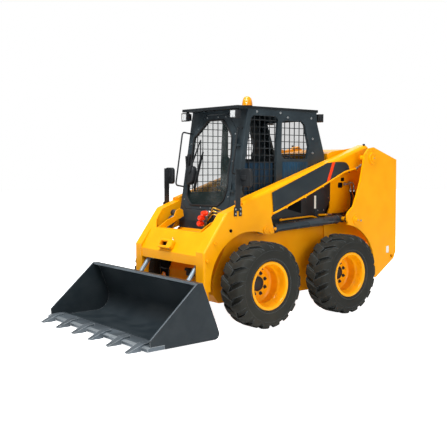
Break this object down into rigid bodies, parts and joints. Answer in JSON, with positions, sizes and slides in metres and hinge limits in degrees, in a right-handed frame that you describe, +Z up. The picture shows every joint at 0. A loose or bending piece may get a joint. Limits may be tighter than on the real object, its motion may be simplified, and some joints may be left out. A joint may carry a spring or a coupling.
{
  "type": "skid steer loader",
  "caption": "Skid steer loader with a lifting boom, toothed bucket, caged cab with a hinged door, lift and tilt cylinders and four driven wheels.",
  "frame": {"origin": "on the ground, under the centre of the machine's bounding box", "axes": "+Z up, -Y towards the bucket, +X to the machine's left"},
  "size_m": [1.762, 3.585, 2.2096],
  "materials": {
    "yellow_paint": "semi-gloss",
    "black_paint": "satin",
    "bucket_paint": "satin",
    "rubber": "matte",
    "rod_chrome": "polished",
    "pin_steel": "brushed",
    "cab_glass": "clear",
    "beacon_amber": "glossy",
    "lamp_lens": "glossy",
    "dark_plastic": "matte",
    "seat_cover": "matte",
    "red_cap": "glossy",
    "engine_iron": "matte"
  },
  "bodies": {
    "chassis": {"chassis_tub": "yellow_paint", "axles": "black_paint", "tower_left": "yellow_paint", "tower_right": "yellow_paint", "rear_bumper": "yellow_paint", "engine_block": "engine_iron", "cab_frame": "black_paint", "cab_roof": "black_paint", "rear_glass": "cab_glass", "side_grilles": "black_paint", "seat": "seat_cover", "lap_bar": "black_paint", "side_consoles": "dark_plastic", "front_lamps": "lamp_lens", "rear_lamps": "dark_plastic", "beacon_base": "black_paint", "beacon_dome": "beacon_amber", "grab_rails": "black_paint"},
    "boom": {"boom_arm_left": "yellow_paint", "boom_arm_right": "yellow_paint", "boom_crossmember": "yellow_paint", "tilt_cylinder_pins": "pin_steel", "mirror_posts": "black_paint", "mirrors": "dark_plastic", "auxiliary_couplers": "red_cap"},
    "lift_barrels": {"lift_barrels": "black_paint"},
    "lift_rods": {"lift_rods": "rod_chrome"},
    "tilt_barrels": {"tilt_barrels": "black_paint"},
    "tilt_rods": {"tilt_rods": "rod_chrome"},
    "bucket": {"coupler": "bucket_paint", "bucket_shell": "bucket_paint", "cutting_edge": "bucket_paint", "bucket_teeth": "bucket_paint"},
    "cab_door": {"cab_door": "black_paint", "door_glass": "cab_glass"},
    "rear_door": {"rear_door": "yellow_paint"},
    "engine_hood": {"engine_hood": "yellow_paint"},
    "wheel_front_left": {"tyre_front_left": "rubber", "rim_front_left": "yellow_paint"},
    "wheel_front_right": {"tyre_front_right": "rubber", "rim_front_right": "yellow_paint"},
    "wheel_rear_left": {"tyre_rear_left": "rubber", "rim_rear_left": "yellow_paint"},
    "wheel_rear_right": {"tyre_rear_right": "rubber", "rim_rear_right": "yellow_paint"}
  },
  "joints": [
    {"name": "boom_lift", "type": "hinge", "parent": "chassis", "child": "boom", "pos_m": [0, 1.3395, 1.601], "axis": [-1, 0, 0], "range_deg": [0, 68]},
    {"name": "bucket_tilt", "type": "hinge", "parent": "boom", "child": "bucket", "pos_m": [0, -0.8025, 0.205], "axis": [1, 0, 0], "range_deg": [-28, 108]},
    {"name": "lift_cylinder_swing", "type": "hinge", "parent": "chassis", "child": "lift_barrels", "pos_m": [0, 1.0825, 0.953], "axis": [-1, 0, 0], "range_deg": [-1, 66.28]},
    {"name": "lift_rod_slide", "type": "slide", "parent": "lift_barrels", "child": "lift_rods", "axis": [0, -0.9988, -0.0486], "range_m": [-0.005, 0.7781]},
    {"name": "tilt_cylinder_swing", "type": "hinge", "parent": "boom", "child": "tilt_barrels", "pos_m": [0, -0.4425, 1.03], "axis": [1, 0, 0], "range_deg": [-2.18, 6.98]},
    {"name": "tilt_rod_slide", "type": "slide", "parent": "tilt_barrels", "child": "tilt_rods", "axis": [0, -0.6121, -0.7908], "range_m": [-0.0936, 0.3525]},
    {"name": "wheel_front_left_spin", "type": "hinge", "parent": "chassis", "child": "wheel_front_left", "pos_m": [0.7255, -0.27, 0.408], "axis": [1, 0, 0], "continuous": true},
    {"name": "wheel_front_right_spin", "type": "hinge", "parent": "chassis", "child": "wheel_front_right", "pos_m": [-0.7255, -0.27, 0.408], "axis": [1, 0, 0], "continuous": true},
    {"name": "wheel_rear_left_spin", "type": "hinge", "parent": "chassis", "child": "wheel_rear_left", "pos_m": [0.7255, 0.855, 0.408], "axis": [1, 0, 0], "continuous": true},
    {"name": "wheel_rear_right_spin", "type": "hinge", "parent": "chassis", "child": "wheel_rear_right", "pos_m": [-0.7255, 0.855, 0.408], "axis": [1, 0, 0], "continuous": true},
    {"name": "cab_door_swing", "type": "hinge", "parent": "chassis", "child": "cab_door", "pos_m": [0.34, -0.34029, 1.27161], "axis": [0, 0.1628, 0.9867], "range_deg": [0, 95]},
    {"name": "rear_door_swing", "type": "hinge", "parent": "chassis", "child": "rear_door", "pos_m": [0.427, 1.7475, 1], "axis": [0, 0, -1], "range_deg": [0, 95]},
    {"name": "hood_lift", "type": "hinge", "parent": "chassis", "child": "engine_hood", "pos_m": [0, 0.9645, 1.63], "axis": [1, 0, 0], "range_deg": [0, 55]}
  ],
  "couplings": [
    {"joint": "lift_cylinder_swing", "follows": "boom_lift", "ratio": 0.96},
    {"joint": "lift_rod_slide", "follows": "boom_lift", "m_per_rad": 0.65143},
    {"joint": "tilt_cylinder_swing", "follows": "bucket_tilt", "ratio": 0.06},
    {"joint": "tilt_rod_slide", "follows": "bucket_tilt", "m_per_rad": 0.18541}
  ]
}
